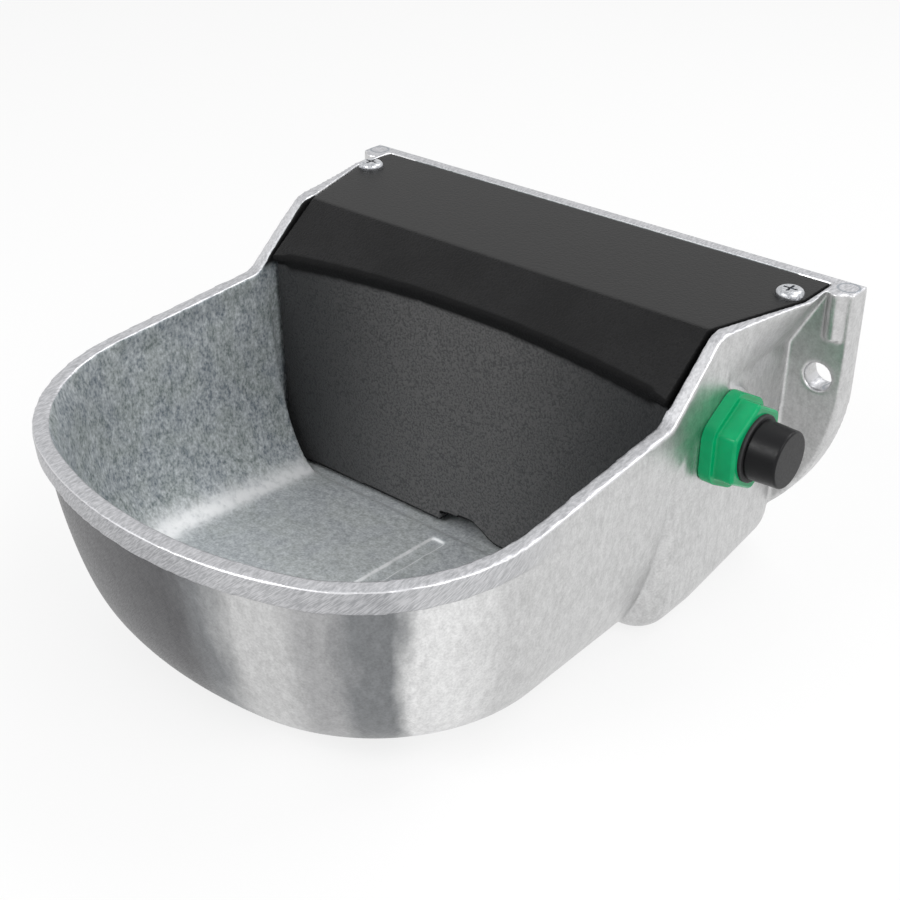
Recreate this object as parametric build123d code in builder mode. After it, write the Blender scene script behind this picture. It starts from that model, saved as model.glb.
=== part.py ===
from build123d import *
import os
from math import asin, atan2, cos, degrees, hypot, radians, sin, sqrt, tan

# Livestock drinking bowl for a wall: a cast aluminium bowl with a float valve behind a black cover.
# Millimetres. +Z is up, the wall face is Y = 0 and the bowl reaches out along -Y.
# The origin lies on the wall face, midway between the two fixing holes. The inlet is on the +X side.

# ---- casting: housing at the wall ----
top_height = 42.5            # fixing-hole line up to the top of the housing
housing_depth = 139.6        # housing top down to the underside of the float chamber
housing_front = 113.5        # wall face to the front end of the deep float chamber
housing_half_back = 114.5    # outer half width of the housing at the wall
housing_half_front = 121.5   # outer half width of the housing where the rim slope starts
housing_draft = 1.5          # how much narrower each side is at the bottom
housing_corner = 22.0        # outer radius along the bottom edges of the float chamber
wall = 6.0                   # general wall thickness of the casting
back_wall = 7.0              # thickness of the casting between the float chamber and the wall
shoulder_back = 82.6         # wall face to the top of the sloping rim
shoulder_front = 116.0       # wall face to the foot of the sloping rim
shoulder_drop = 28.3         # housing top down to the foot of the sloping rim
shoulder_round = 11.0        # rounding at both ends of the sloping rim

# ---- casting: fixing ears ----
ear_half_width = 142.5
ear_thickness = 12.5
ear_straight = 46.0          # upright side edge of the ear, down from the top
ear_foot_rise = 12.6         # underside up to where the ear runs into the chamber
ear_foot_half = 100.0        # half width there
hole_half_span = 130.4       # fixing hole from the centre line
hole_radius = 6.5
gusset_inset = 10.1          # side edge of the ear in to the flared gusset under the housing top
gusset_depth = 30.0          # height of the gusset
gusset_bow = 0.8             # how far its outer edge bows in
gusset_root = 121.0          # half width at the gusset's lower front corner
gusset_front = 28.0          # wall face to the outer corner of the gusset
gusset_return = 1.8          # how far its end runs back inwards from there to the ear
pillar_radius = 3.9          # half-round pillar on the ear, beside the gusset
pillar_length = 22.3
pillar_inset = 7.5           # side edge of the ear in to the pillar
mark_radius = 4.7            # ejector mark on top of the ear
mark_depth = 0.4
mark_inset = 6.0             # side edge of the ear in to the mark
mark_back = 6.2              # wall face to the mark

# ---- casting: bowl ----
bowl_reach = 290.3           # wall face to the front of the rim
bowl_half_width = 124.7
front_radius = 200.0         # plan radius of the front of the rim
corner_radius = 82.0         # plan radius of the two front corners of the rim
body_corner = 89.0           # and of the bowl's wall just under the lip
rim_width = 6.6
rim_fall = 3.8               # degrees that the rim falls towards the front
lip_height = 10.7
lip_overhang = 3.4           # step from the lip back to the wall of the bowl, at the front
bowl_step = 1.1              # how much higher the bowl's underside is than the float chamber's
base_rise = 2.9              # degrees that the underside rises towards the front
front_draft = 10.0           # how far the front wall leans in over the bowl's depth
front_bulge = 22.0           # and how far it rounds in further at the bottom
side_draft = 4.0            # how far each side leans in at the front corners
side_bulge = 34.0            # and how far it rounds in further there
root_draft = 8.0             # the same two at the bowl's root, where it is squarer
root_bulge = 27.0
corner_closing = 9.0         # how much smaller that radius is at the base
bowl_start = 72.6           # wall face to where the bowl's sides start inside the housing
bowl_tuck = 0.25             # how far inside the housing's sides they start
chamber_end = 110.5          # wall face to where the float chamber's cavity ends
passage_back = 109.0         # wall face to where the bowl's cavity starts
lip_side_step = 0.3          # step from the lip back to the side walls
bowl_fullness = 2.8          # superellipse exponent of the bowl's upright section
bowl_steps = 4               # sections between lip and base
heel_radius = 18.0           # rounding between the wall face and the underside
housing_nose = 12.0          # rounding at the front end of the float chamber's underside
channel_width = 8.5          # drain channel in the floor
channel_depth = 1.3
channel_length = 120.0       # from the float chamber towards the front
drain_radius = 14.0          # drain hole in the floor of the float chamber
drain_x = 62.0
drain_back = 62.0            # wall face to the drain hole

# ---- cover ----
cover_thickness = 3.0
cover_half_front = 113.0     # half width at the fold
cover_half_back = 128.0      # half width at the wall
cover_flare_back = 30.0      # wall face to where the cover's flare ends
cover_back = 7.0             # wall face to the back edge of the cover
cover_fold = 79.8            # wall face to the fold between top and hood
cover_front = 108.3          # wall face to the front panel
hood_drop = 21.0             # cover top down to the foot of the hood
panel_gap = 1.6              # floor of the float chamber up to the bottom edge of the panel
panel_draft = 2.2            # how much narrower each side of the panel is at the bottom
panel_corner = 14.0
skirt_depth = 12.0           # how far the side and bottom flanges reach back
dish_depth = 7.3             # how far the panel is dished in at its middle
dish_fade = 0.25             # share of that depth that is left at the bottom edge
lip_undercut = 2.2           # overhang of the hood above the dished panel
lip_thickness = 3.0
notch_x = -10.0              # upright end of the water passage in the bottom edge
notch_step = 5.0             # height of that end
notch_height = 7.0           # greatest height of the passage
notch_rise = 17.0            # length over which it rises further to that height
notch_run = 20.0             # length over which it runs out again
cover_gap = 1.2              # gap between the cover and the casting round it

# ---- cover screws (M6 pan head, cross recess) ----
screw_x = 121.0
screw_back = 29.3            # wall face to the screws
screw_radius = 3.0
screw_head_radius = 6.2
screw_head_height = 3.3
screw_head_round = 2.4
screw_length = 12.0
screw_hole_depth = 14.0      # tapped hole, from the housing top
screw_fit = 0.08             # radial clearance of the screw in the casting
screw_clearance = 0.3        # and in the cover
recess_length = 6.6          # cross recess, tip to tip
recess_width = 1.2
recess_depth = 2.0

# ---- inlet valve body, gasket, lock nut and cap ----
valve_back = 73.0            # wall face to the valve's axis
valve_drop = 49.5            # housing top down to the valve's axis
pad_radius = 22.0            # flat pad on the side wall, inside and outside
spotface_radius = 24.0       # of both its faces
pad_thickness = 10.5          # outer face of the pad in to its inner face
port_clearance = 0.6         # spigot in the hole of the casting
spigot_radius = 10.5         # half inch pipe thread, male
spigot_length = 28.0         # from the outer face of the pad
spigot_bore = 7.0
gasket_thickness = 2.0
gasket_radius = 17.0
flange_radius = 18.0         # inner flange of the valve body
flange_thickness = 5.0
barrel_radius = 12.0         # valve body inside the float chamber
barrel_length = 24.0
guide_length = 11.0          # bore that the plunger slides in
weep_width = 5.0             # slot that lets the water run down
weep_length = 6.0
thread_fit = 0.1             # radial clearance of nut and washer on the spigot
nut_flats = 35.0             # across the flats of the lock nut
nut_corner = 3.0
nut_flange_flats = 40.5      # its thicker foot
nut_flange_corner = 9.0
nut_flange_height = 6.0
nut_height = 15.0
nut_chamfer = 1.0
collar_radius = 15.0         # sealing washer outside the nut
collar_thickness = 1.6
cap_radius = 13.2
cap_length = 14.0
cap_wall = 1.8
cap_taper = 0.6              # smaller radius at the closed end
cap_chamfer = 0.5
cap_fit = 0.08
cap_seat = 0.2               # gap between the cap and the washer
strainer_length = 14.0
strainer_wall = 1.0
strainer_fit = 0.05
strainer_hole = 1.0
strainer_set_back = 1.0      # from the end of the spigot

# ---- nozzle and plunger ----
nozzle_radius = 5.0
nozzle_length = 9.0
nozzle_fit = 0.05
jet_radius = 1.8
plunger_radius = 4.6
plunger_fit = 0.06
seal_thickness = 2.4
seal_gap = 0.05              # left between seal and nozzle when the valve is closed

# ---- float arm ----
pivot_reach = 10.0           # from the end of the valve body to the pivot
pivot_drop = 8.5             # from the valve's axis down to the pivot
pin_radius = 1.5
pin_fit = 0.05
pin_head_radius = 2.6
pin_head_height = 1.2
pin_tail = 2.0               # how far the pin reaches past its clip
clip_radius = 3.2
clip_thickness = 0.8
fork_gap = 10.4              # between the two cheeks that carry the pivot pin
cheek_thickness = 3.6
cheek_round = 5.0
hub_radius = 4.0
hub_clearance = 0.3
cam_lever = 7.6              # pivot to the middle of the cam
cam_radius = 3.0
cam_width = 6.0
cam_gap = 0.3
arm_thickness = 3.0
arm_height = 8.0
float_gap = 10.33            # floor of the float chamber up to the hanging float's lowest corner
arm_swing = 20.0             # degrees from hanging open to closed

# ---- float ----
float_centre = 96.0          # pivot to the middle of the float
float_back = 58.0            # wall face to the middle of the float
float_length = 62.0
float_width = 56.0
float_height = 34.0
float_round = 9.0
float_chamfer = 3.0
lug_reach = 12.0             # from the float to the screw's far side
lug_thickness = 6.0
lug_gap = 0.05
bolt_radius = 2.0
bolt_fit = 0.1
bolt_head_radius = 3.6
bolt_head_height = 2.4
bolt_nut_flats = 7.0
bolt_nut_height = 3.2
bolt_tail = 1.2              # how far the bolt stands out of its nut

# ---- drain plug ----
plug_fit = 0.1
plug_flange_radius = 19.0
plug_flange_thickness = 3.0
plug_short = 0.5             # how far its stem stops short of the underside
plug_taper = 1.0
ring_radius = 4.6            # inside of the pull ring
ring_wall = 2.2
ring_thickness = 4.0
stub_width = 8.0
stub_height = 3.0

top = top_height
shoulder_z = top - shoulder_drop
lip_z = shoulder_z - lip_height
rim_start = 2 * shoulder_round - shoulder_back
rim_end = bowl_reach + wall
rim_end_z = shoulder_z - tan(radians(rim_fall)) * (rim_end - shoulder_front)
clear_z = top + 2 * shoulder_drop
ear_foot_z = top - housing_depth + ear_foot_rise
gusset_half = ear_half_width - gusset_inset
pillar_x = ear_half_width - pillar_inset
mark_x = ear_half_width - mark_inset
floor_z = top - housing_depth + wall
panel_z = floor_z + panel_gap
bowl_depth = housing_depth - bowl_step

valve_z = top - valve_drop
pivot_z = valve_z - pivot_drop
pad_out = housing_half_front
pad_in = pad_out - pad_thickness
flange_x = pad_in - gasket_thickness
barrel_x = flange_x - flange_thickness - barrel_length
nozzle_x = barrel_x + guide_length
nut_x = pad_out + nut_height
spigot_x = pad_out + spigot_length
cap_x = nut_x + collar_thickness + cap_seat
pivot_x = barrel_x - pivot_reach
half_swing = radians(arm_swing / 2)
cam_x = pivot_x - cam_lever * sin(half_swing)
cam_z = pivot_z + cam_lever * cos(half_swing)
plunger_x = cam_x + cam_radius + cam_gap
plunger_travel = 2 * cam_lever * sin(half_swing)
seal_x = nozzle_x - seal_gap - plunger_travel - seal_thickness
fork_half = fork_gap / 2
bolt_x = float_centre - float_length / 2 - lug_reach / 2
float_tip = float_centre + float_length / 2
tip_rise = atan2(float_height / 2, float_tip)
tip_drop = (pivot_z - floor_z - float_gap) / hypot(float_tip, float_height / 2)
arm_sag = degrees(asin(tip_drop) - tip_rise)
arm_plane = Plane(
    origin=(pivot_x, -valve_back, pivot_z),
    x_dir=(-cos(radians(arm_sag)), 0, -sin(radians(arm_sag))),
    z_dir=(0, 1, 0),
)


def tilted(z_at_shoulder, rise):
    """Plane across the bowl through the shoulder line, climbing towards the wall by rise degrees."""
    slope = radians(rise)
    return Plane(
        origin=(0, -shoulder_front, z_at_shoulder), x_dir=(1, 0, 0), z_dir=(0, -sin(slope), cos(slope))
    )


def bowl_section(plane, inset_front, inset_side, inset_rear, corner, start):
    """Plan of the bowl on a tilted plane: straight sides, two round corners and a crowned front."""
    half = bowl_half_width - inset_side
    half_rear = housing_half_front - bowl_tuck - inset_rear
    front = shoulder_front - bowl_reach + inset_front
    rear = shoulder_front - start
    corner_y = front + front_radius - sqrt(front_radius**2 - half**2)
    with BuildSketch(plane) as section:
        with BuildLine():
            Polyline((-half, corner_y), (-half_rear, rear), (half_rear, rear), (half, corner_y))
            ThreePointArc((half, corner_y), (0, front), (-half, corner_y))
        make_face()
        fillet(section.vertices().group_by(Axis.Y)[0], corner)
    return section.sketch


def bowl_sections(inset, start):
    """Sections from the lip down to the base, inset all round: they follow a superellipse in height."""
    sections = []
    for step in range(bowl_steps + 1):
        angle = radians(90 * step / bowl_steps)
        down = sin(angle) ** (2 / bowl_fullness)
        inwards = 1 - cos(angle) ** (2 / bowl_fullness) if step < bowl_steps else 1
        z = (1 - down) * lip_z + down * (top - bowl_depth + inset)
        rise = (1 - down) * rim_fall - down * base_rise
        front = lip_overhang + down * front_draft + inwards * front_bulge
        side = lip_side_step + down * side_draft + inwards * side_bulge
        root = lip_side_step + down * root_draft + inwards * root_bulge
        corner = body_corner - down * corner_closing
        sections.append(
            bowl_section(tilted(z, rise), front + inset, side + inset, root + inset, corner - inset, start)
        )
    return sections


def chamber_section(back, half, depth, draft, corner):
    """Cross-section of the float chamber, looking along the wall's normal."""
    with BuildSketch(Plane.XZ.offset(back)) as section:
        with BuildLine():
            Polyline(
                (-half, top), (-half + draft, top - depth), (half - draft, top - depth), (half, top), close=True
            )
        make_face()
        fillet(section.vertices().group_by(Axis.Y)[0], corner)
    return section.sketch


def cover_plan(gap):
    """Plan of the cover's top plate, from the fold to the wall, with a gap all round."""
    with BuildSketch(Plane.XY.offset(top)) as plan:
        with BuildLine():
            Polyline(
                (0, -cover_fold), (cover_half_front + gap, -cover_fold), (cover_half_back + gap, -cover_flare_back),
                (cover_half_back + gap, -cover_back + gap), (0, -cover_back + gap), close=True,
            )
        make_face()
        mirror(about=Plane.YZ)
    return plan.sketch


def hood_profile(back, inset):
    """Side view of hood and panel, reaching back that far behind their front face, less an inset."""
    foot_z = top - hood_drop
    with BuildSketch(Plane.YZ) as profile:
        with BuildLine():
            Polyline(
                (-cover_front, panel_z), (-cover_front, foot_z), (-cover_fold, top), (-cover_fold + back, top),
                (-cover_front + back, foot_z), (-cover_front + back, panel_z), close=True,
            )
        make_face()
        offset(amount=-inset, kind=Kind.INTERSECTION)
    return profile.sketch


def hood_front(inset):
    """Front view of hood and panel, with drafted sides and round lower corners, less an inset."""
    with BuildSketch(Plane.XZ.offset(cover_fold / 2)) as view:
        with BuildLine():
            Polyline(
                (-cover_half_front, top), (-cover_half_front, top - hood_drop),
                (panel_draft - cover_half_front, panel_z), (cover_half_front - panel_draft, panel_z),
                (cover_half_front, top - hood_drop), (cover_half_front, top), close=True,
            )
        make_face()
        fillet(view.vertices().group_by(Axis.Y)[0], panel_corner)
        offset(amount=-inset, kind=Kind.INTERSECTION)
    return view.sketch


def dish_section(z, set_back, depth):
    """Plan, at a height, of what lies in front of the dished panel: it is deepest in the middle."""
    edge_y = -cover_front + set_back
    front_y = -cover_front - wall
    with BuildSketch(Plane.XY.offset(z)) as section:
        with BuildLine():
            ThreePointArc((-cover_half_front, edge_y), (0, edge_y + depth), (cover_half_front, edge_y))
            Polyline(
                (cover_half_front, edge_y), (cover_half_front, front_y), (-cover_half_front, front_y),
                (-cover_half_front, edge_y),
            )
        make_face()
    return section.sketch


def dish_sections(set_back):
    """The two ends of the dish: full depth at the hood and faded at the bottom edge."""
    return [dish_section(top, set_back, dish_depth), dish_section(panel_z, set_back, dish_depth * dish_fade)]


def bar(centre_x, radius):
    """Round bar section on the float arm's plane, at a distance from the pivot."""
    with BuildSketch(arm_plane) as section:
        with Locations((centre_x, 0)):
            Circle(radius)
    return section.sketch


def valve_disc(half_width, radius):
    """Disc on the valve's axis, facing +X."""
    with BuildSketch(Plane.YZ.offset(half_width)) as disc:
        with Locations((-valve_back, valve_z)):
            Circle(radius)
    return disc.sketch


# ---------------------------------------------------------------- casting
# drinking bowl: it goes no deeper than the float chamber
with BuildPart() as basin:
    loft(bowl_sections(0, bowl_start))
    split(bisect_by=Plane.XY.offset(top - housing_depth), keep=Keep.TOP)

with BuildPart() as bowl:
    # float chamber
    loft(
        [
            chamber_section(0, housing_half_back, housing_depth, housing_draft, housing_corner),
            chamber_section(shoulder_back, housing_half_front, housing_depth, housing_draft, housing_corner),
            chamber_section(housing_front, housing_half_front, housing_depth, housing_draft, housing_corner),
        ],
        ruled=True,
    )
    front_end = bowl.faces().sort_by(Axis.Y)[0]
    fillet(front_end.edges().filter_by(lambda edge: edge.center().Z < top - wall), housing_nose)
    heel = bowl.faces().sort_by(Axis.Y)[-1].edges().filter_by(lambda edge: edge.center().Z < ear_foot_z)
    fillet(heel, heel_radius)
    # drinking bowl, with its lip
    add(basin.part)
    extrude(bowl_section(tilted(lip_z, rim_fall), 0, 0, 0, corner_radius, bowl_start), amount=2 * shoulder_drop)
    # flared gusset under the housing top
    with BuildSketch(Plane.XY.offset(top)):
        with BuildLine():
            flare = ThreePointArc(
                (housing_half_front, -shoulder_back),
                ((housing_half_front + gusset_half) / 2 - gusset_bow, -(shoulder_back + gusset_front) / 2),
                (gusset_half, -gusset_front),
            )
            Line(flare @ 1, (gusset_half - gusset_return, -ear_thickness))
            Line((gusset_half - gusset_return, -ear_thickness), (0, -ear_thickness))
            Line((0, -ear_thickness), (0, -shoulder_back))
            Line((0, -shoulder_back), flare @ 0)
        make_face()
        mirror(about=Plane.YZ)
    with BuildSketch(Plane.XY.offset(top - gusset_depth)):
        with BuildLine():
            Polyline(
                (gusset_root, -shoulder_back), (housing_half_back, -gusset_front),
                (housing_half_back, -ear_thickness), (0, -ear_thickness), (0, -shoulder_back), close=True,
            )
        make_face()
        mirror(about=Plane.YZ)
    loft(ruled=True)
    # back plate with the two fixing ears
    with BuildSketch(Plane.XZ):
        with BuildLine():
            Line((0, top), (ear_half_width, top))
            side = Line((ear_half_width, top), (ear_half_width, top - ear_straight))
            foot = TangentArc(side @ 1, (ear_foot_half, ear_foot_z), tangent=side % 1)
            Line(foot @ 1, (0, ear_foot_z))
            Line((0, ear_foot_z), (0, top))
        make_face()
        mirror(about=Plane.YZ)
    extrude(amount=ear_thickness)
    # pillars on the ears
    with BuildSketch(Plane.XY.offset(top)):
        with Locations((pillar_x, -ear_thickness), (-pillar_x, -ear_thickness)):
            Circle(pillar_radius)
    extrude(amount=-pillar_length)
    # everything above the rim is cut away along its side view
    with BuildSketch(Plane.YZ):
        with BuildLine() as rim:
            Polyline((rim_start, top), (-shoulder_back, top), (-shoulder_front, shoulder_z), (-rim_end, rim_end_z))
            fillet(rim.vertices().sort_by(Axis.X)[1:3], shoulder_round)
            Polyline((-rim_end, rim_end_z), (-rim_end, clear_z), (rim_start, clear_z), (rim_start, top))
        make_face()
    extrude(amount=ear_half_width + wall, both=True, mode=Mode.SUBTRACT)
    # inside of the bowl and of the float chamber
    mouth_plane = tilted(shoulder_z, rim_fall)
    mouth_corner = corner_radius - rim_width
    mouth = bowl_section(mouth_plane, rim_width, rim_width, rim_width, mouth_corner, passage_back)
    inside = bowl_sections(wall, passage_back)
    loft([inside[0], mouth], ruled=True, mode=Mode.SUBTRACT)
    extrude(mouth, amount=2 * shoulder_drop, mode=Mode.SUBTRACT)
    loft(inside, mode=Mode.SUBTRACT)
    loft(
        [
            chamber_section(back, half - wall, housing_depth - wall, housing_draft, housing_corner - wall)
            for back, half in (
                (back_wall, housing_half_back), (shoulder_back, housing_half_front), (chamber_end, housing_half_front)
            )
        ],
        ruled=True,
        mode=Mode.SUBTRACT,
    )
    # ledge that the cover lies on
    extrude(cover_plan(cover_gap), amount=-cover_thickness, mode=Mode.SUBTRACT)
    # drain channel in the floor
    with BuildSketch(tilted(top - bowl_depth + wall, -base_rise)):
        with Locations((0, -channel_length / 2)):
            Rectangle(channel_width, channel_length)
    extrude(amount=-channel_depth, mode=Mode.SUBTRACT)
    # flat pads for the inlet valve, spotfaced on both sides, and its hole
    extrude(valve_disc(pad_in, pad_radius), amount=pad_out - pad_in)
    extrude(valve_disc(pad_out, spotface_radius), amount=wall, mode=Mode.SUBTRACT)
    extrude(valve_disc(pad_in, spotface_radius), amount=-wall, mode=Mode.SUBTRACT)
    port = valve_disc(pad_in - wall, spigot_radius + port_clearance)
    extrude(port, amount=pad_out - pad_in + 2 * wall, mode=Mode.SUBTRACT)
    # drain hole, fixing holes, tapped screw holes and ejector marks
    with Locations((drain_x, -drain_back, floor_z)):
        Cylinder(drain_radius, 3 * wall, mode=Mode.SUBTRACT)
    with Locations(Plane.XZ):
        with Locations((hole_half_span, 0), (-hole_half_span, 0)):
            Hole(hole_radius)
    with Locations((screw_x, -screw_back, top), (-screw_x, -screw_back, top)):
        Hole(screw_radius + screw_fit, screw_hole_depth)
    with BuildSketch(Plane.XY.offset(top)):
        with Locations((mark_x, -mark_back), (-mark_x, -mark_back)):
            Circle(mark_radius)
            Circle(mark_radius - mark_depth, mode=Mode.SUBTRACT)
    extrude(amount=-mark_depth, mode=Mode.SUBTRACT)

bowl.part.label = "bowl_casting"
os.makedirs("parts", exist_ok=True)
export_step(bowl.part, "parts/bowl_casting.step")


# ---------------------------------------------------------------- cover
# hollow behind hood and panel, one wall in from their outside
with BuildPart() as hood_hollow:
    extrude(hood_profile(2 * skirt_depth, cover_thickness), amount=cover_half_front, both=True)
    extrude(hood_front(cover_thickness), amount=cover_front, mode=Mode.INTERSECT)
    loft(dish_sections(lip_undercut + cover_thickness), ruled=True, mode=Mode.SUBTRACT)

# undercut of the panel below the lip, with an arched upper edge
with BuildPart() as undercut:
    loft(dish_sections(lip_undercut), ruled=True)
    lip_foot = top - hood_drop - lip_thickness
    lip_crown = lip_foot + dish_depth * hood_drop / (cover_front - cover_fold)
    with BuildSketch(Plane.XZ.offset(cover_fold)):
        with BuildLine():
            ThreePointArc((-cover_half_front, lip_foot), (0, lip_crown), (cover_half_front, lip_foot))
            Polyline(
                (cover_half_front, lip_foot), (cover_half_front, panel_z), (-cover_half_front, panel_z),
                (-cover_half_front, lip_foot),
            )
        make_face()
    extrude(amount=cover_front, mode=Mode.INTERSECT)

with BuildPart() as cover:
    extrude(hood_profile(skirt_depth, 0), amount=cover_half_front, both=True)
    extrude(hood_front(0), amount=cover_front, mode=Mode.INTERSECT)
    loft(dish_sections(0), ruled=True, mode=Mode.SUBTRACT)
    add(undercut.part, mode=Mode.SUBTRACT)
    add(hood_hollow.part, mode=Mode.SUBTRACT)
    extrude(cover_plan(0), amount=-cover_thickness)
    # water passage in the bottom edge
    with BuildSketch(Plane.XZ.offset(cover_fold)):
        with BuildLine():
            crest = (notch_x + notch_rise, panel_z + notch_height)
            run_out = (notch_x + notch_rise + notch_run, panel_z)
            Polyline(
                run_out, (run_out[0], panel_z - notch_height), (notch_x, panel_z - notch_height),
                (notch_x, panel_z + notch_step), crest,
            )
            Spline(crest, run_out, tangents=((1, 0), (1, 0)))
        make_face()
    extrude(amount=cover_front, mode=Mode.SUBTRACT)
    with Locations((screw_x, -screw_back, top), (-screw_x, -screw_back, top)):
        Hole(screw_radius + screw_clearance, 2 * cover_thickness)
cover.part.label = "cover"
export_step(cover.part, "parts/cover.step")

with BuildPart() as cover_screws:
    with Locations((screw_x, -screw_back, top), (-screw_x, -screw_back, top)):
        Cylinder(screw_head_radius, screw_head_height, align=(Align.CENTER, Align.CENTER, Align.MIN))
        Cylinder(screw_radius, screw_length, align=(Align.CENTER, Align.CENTER, Align.MAX))
    fillet(cover_screws.edges().group_by(Axis.Z)[-1], screw_head_round)
    with BuildSketch(Plane.XY.offset(top + screw_head_height)):
        with Locations((screw_x, -screw_back), (-screw_x, -screw_back)):
            Rectangle(recess_length, recess_width)
            Rectangle(recess_width, recess_length)
    extrude(amount=-recess_depth, mode=Mode.SUBTRACT)
cover_screws.part.label = "cover_screws"
export_step(cover_screws.part, "parts/cover_screws.step")


# ---------------------------------------------------------------- inlet valve
with BuildPart() as valve_body:
    extrude(valve_disc(barrel_x, barrel_radius), amount=barrel_length)
    extrude(valve_disc(flange_x, flange_radius), amount=-flange_thickness)
    extrude(valve_disc(flange_x - flange_thickness, spigot_radius), amount=spigot_x - flange_x + flange_thickness)
    # fork that carries the float arm's pivot
    with BuildSketch(Plane.XZ.offset(valve_back - fork_half)):
        with BuildLine():
            Polyline(
                (barrel_x + barrel_radius, valve_z + cheek_round), (pivot_x, pivot_z + cheek_round),
                (pivot_x, pivot_z - cheek_round), (barrel_x + barrel_radius, valve_z - barrel_radius + 1), close=True,
            )
        make_face()
        with Locations((pivot_x, pivot_z)):
            Circle(cheek_round)
    extrude(amount=-cheek_thickness)
    mirror(about=Plane.XZ.offset(valve_back))
    # waterway: inlet bore, nozzle seat, plunger guide, weep slot
    extrude(valve_disc(spigot_x, spigot_bore), amount=nozzle_x + nozzle_length - spigot_x, mode=Mode.SUBTRACT)
    extrude(valve_disc(nozzle_x, nozzle_radius + nozzle_fit), amount=nozzle_length, mode=Mode.SUBTRACT)
    extrude(valve_disc(barrel_x - wall, plunger_radius + plunger_fit), amount=guide_length + wall, mode=Mode.SUBTRACT)
    with BuildSketch(Plane.XY.offset(valve_z)):
        with Locations((nozzle_x - weep_length / 2, -valve_back)):
            Rectangle(weep_length, weep_width)
    extrude(amount=-2 * barrel_radius, mode=Mode.SUBTRACT)
    # pivot hole
    with Locations(Plane.XZ):
        with Locations((pivot_x, pivot_z)):
            Hole(pin_radius + pin_fit)
valve_body.part.label = "valve_body"
export_step(valve_body.part, "parts/valve_body.step")

with BuildPart() as valve_gasket:
    extrude(valve_disc(flange_x, gasket_radius), amount=gasket_thickness)
    extrude(valve_disc(flange_x, spigot_radius + thread_fit), amount=gasket_thickness, mode=Mode.SUBTRACT)
valve_gasket.part.label = "valve_gasket"
export_step(valve_gasket.part, "parts/valve_gasket.step")

with BuildPart() as lock_nut:
    with BuildSketch(Plane.YZ.offset(pad_out)) as foot_hexagon:
        with Locations((-valve_back, valve_z)):
            RegularPolygon(nut_flange_flats / 2, 6, major_radius=False, rotation=30)
        fillet(foot_hexagon.vertices(), nut_flange_corner)
    extrude(amount=nut_flange_height)
    with BuildSketch(Plane.YZ.offset(pad_out)) as hexagon:
        with Locations((-valve_back, valve_z)):
            RegularPolygon(nut_flats / 2, 6, major_radius=False, rotation=30)
        fillet(hexagon.vertices(), nut_corner)
    extrude(amount=nut_height)
    chamfer(lock_nut.faces().sort_by(Axis.X)[-1].edges(), nut_chamfer)
    extrude(valve_disc(pad_out, spigot_radius + thread_fit), amount=nut_height, mode=Mode.SUBTRACT)
lock_nut.part.label = "lock_nut"
export_step(lock_nut.part, "parts/lock_nut.step")

with BuildPart() as inlet_washer:
    extrude(valve_disc(nut_x, collar_radius), amount=collar_thickness)
    extrude(valve_disc(nut_x, spigot_radius + thread_fit), amount=collar_thickness, mode=Mode.SUBTRACT)
    chamfer(inlet_washer.faces().sort_by(Axis.X)[-1].outer_wire().edges(), collar_thickness / 3)
inlet_washer.part.label = "inlet_washer"
export_step(inlet_washer.part, "parts/inlet_washer.step")

with BuildPart() as inlet_cap:
    with Locations(Plane(origin=(cap_x, -valve_back, valve_z), x_dir=(0, 1, 0), z_dir=(1, 0, 0))):
        Cone(cap_radius, cap_radius - cap_taper, cap_length, align=(Align.CENTER, Align.CENTER, Align.MIN))
    chamfer(inlet_cap.faces().sort_by(Axis.X)[-1].edges(), cap_chamfer)
    cap_bore = valve_disc(cap_x, spigot_radius + cap_fit)
    extrude(cap_bore, amount=cap_length - cap_wall, mode=Mode.SUBTRACT)
inlet_cap.part.label = "inlet_cap"
export_step(inlet_cap.part, "parts/inlet_cap.step")

with BuildPart() as inlet_strainer:
    strainer_x = spigot_x - strainer_set_back - strainer_length
    strainer_radius = spigot_bore - strainer_fit
    extrude(valve_disc(strainer_x, strainer_radius), amount=strainer_length)
    strainer_inside = valve_disc(strainer_x + strainer_wall, strainer_radius - strainer_wall)
    extrude(strainer_inside, amount=strainer_length, mode=Mode.SUBTRACT)
    with BuildSketch(Plane.YZ.offset(strainer_x)):
        with Locations((-valve_back, valve_z)):
            Circle(strainer_hole)
            with PolarLocations(strainer_radius / 2, 6):
                Circle(strainer_hole)
    extrude(amount=strainer_wall, mode=Mode.SUBTRACT)
inlet_strainer.part.label = "inlet_strainer"
export_step(inlet_strainer.part, "parts/inlet_strainer.step")

with BuildPart() as nozzle:
    extrude(valve_disc(nozzle_x, nozzle_radius), amount=nozzle_length)
    # raised seat round the jet
    nozzle_face = nozzle.faces().sort_by(Axis.X)[0]
    chamfer(nozzle_face.edges(), nozzle_radius - 2 * jet_radius)
    extrude(valve_disc(nozzle_x, jet_radius), amount=nozzle_length, mode=Mode.SUBTRACT)
nozzle.part.label = "nozzle"
export_step(nozzle.part, "parts/nozzle.step")

with BuildPart() as plunger:
    extrude(valve_disc(plunger_x, plunger_radius), amount=seal_x - plunger_x)
plunger.part.label = "plunger"
export_step(plunger.part, "parts/plunger.step")

with BuildPart() as plunger_seal:
    extrude(valve_disc(seal_x, plunger_radius), amount=seal_thickness)
plunger_seal.part.label = "plunger_seal"
export_step(plunger_seal.part, "parts/plunger_seal.step")


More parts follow.
